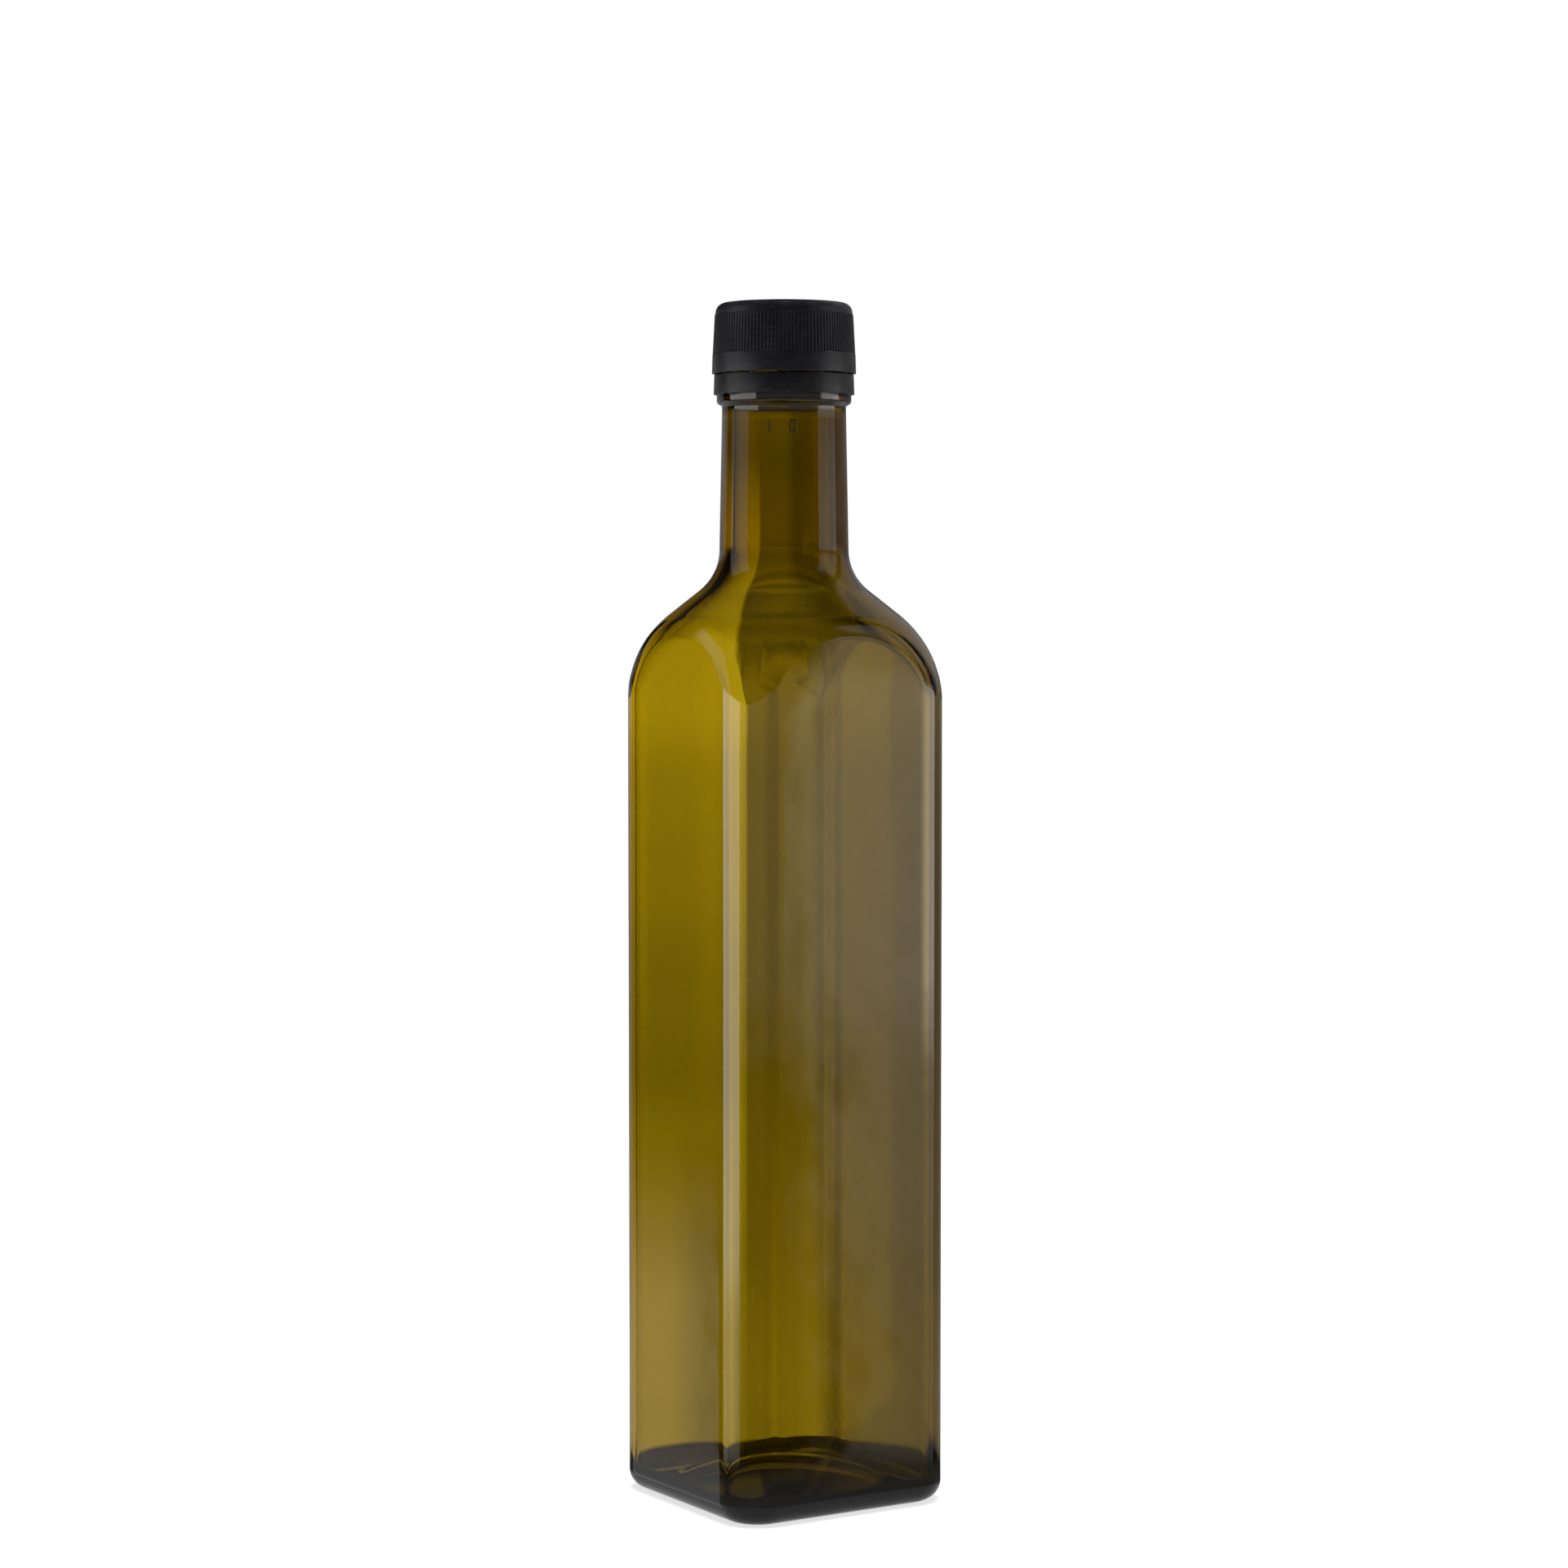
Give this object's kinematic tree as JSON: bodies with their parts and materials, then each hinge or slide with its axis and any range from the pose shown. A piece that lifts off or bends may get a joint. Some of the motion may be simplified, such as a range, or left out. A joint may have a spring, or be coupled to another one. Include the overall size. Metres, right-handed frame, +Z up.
{
  "type": "square oil bottle",
  "caption": "Tall square bottle of olive-green glass with domed shoulder, slim round neck, ribbed black screw cap with tear-off band, and pouring insert.",
  "frame": {"origin": "middle of the foot of the bottle, on the surface that it stands on", "axes": "+Z up along the bottle's axis through neck and cap; X and Y square to the four flat sides"},
  "size_m": [0.056, 0.056, 0.2671],
  "materials": {
    "olive_glass": "smooth transparent olive-green bottle glass",
    "black_plastic": "satin black moulded plastic",
    "natural_plastic": "milky translucent moulded plastic"
  },
  "bodies": {
    "root": {"glass_bottle": "olive_glass", "screw_cap": "black_plastic", "tamper_band": "black_plastic", "pourer_insert": "natural_plastic"}
  },
  "joints": []
}
